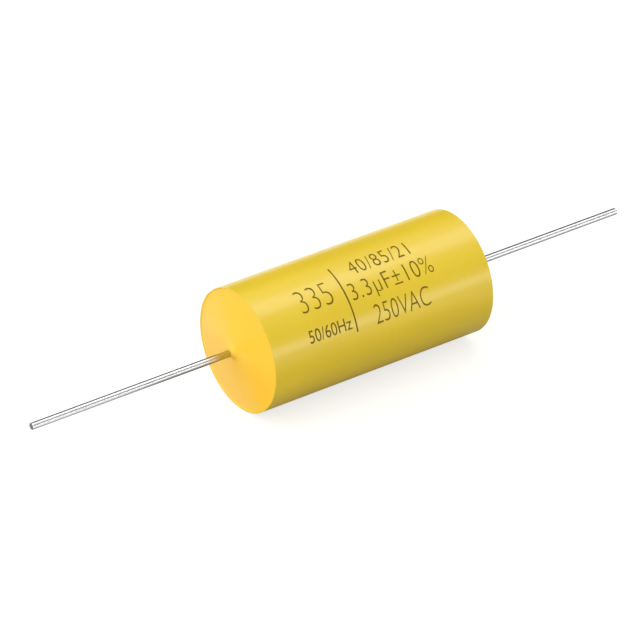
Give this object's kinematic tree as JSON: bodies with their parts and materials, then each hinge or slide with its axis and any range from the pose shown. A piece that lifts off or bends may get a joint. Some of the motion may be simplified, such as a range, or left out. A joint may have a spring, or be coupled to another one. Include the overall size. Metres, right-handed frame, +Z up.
{
  "type": "axial film capacitor",
  "caption": "Round axial film capacitor: a film roll wrapped in yellow tape, cast epoxy ends and a straight tinned wire lead out of each end.",
  "frame": {"origin": "middle of the taped body, on its axis", "axes": "+X along the body's axis towards the shorter lead, +Z up as the body lies on its side, +Y across"},
  "size_m": [0.0792, 0.0144, 0.0144],
  "materials": {
    "tape": "semi-gloss polyester film",
    "epoxy": "glossy cast resin",
    "tinned_wire": "bright tin, drawn lengthwise",
    "film": "metallised film, edge on",
    "sprayed_metal": "rough sprayed zinc",
    "solder": "smooth solder"
  },
  "bodies": {
    "root": {"tape_wrap": "tape", "end_fill_left": "epoxy", "end_fill_right": "epoxy", "lead_left": "tinned_wire", "lead_right": "tinned_wire", "film_winding": "film", "end_spray_left": "sprayed_metal", "end_spray_right": "sprayed_metal", "solder_left": "solder", "solder_right": "solder"}
  },
  "joints": []
}
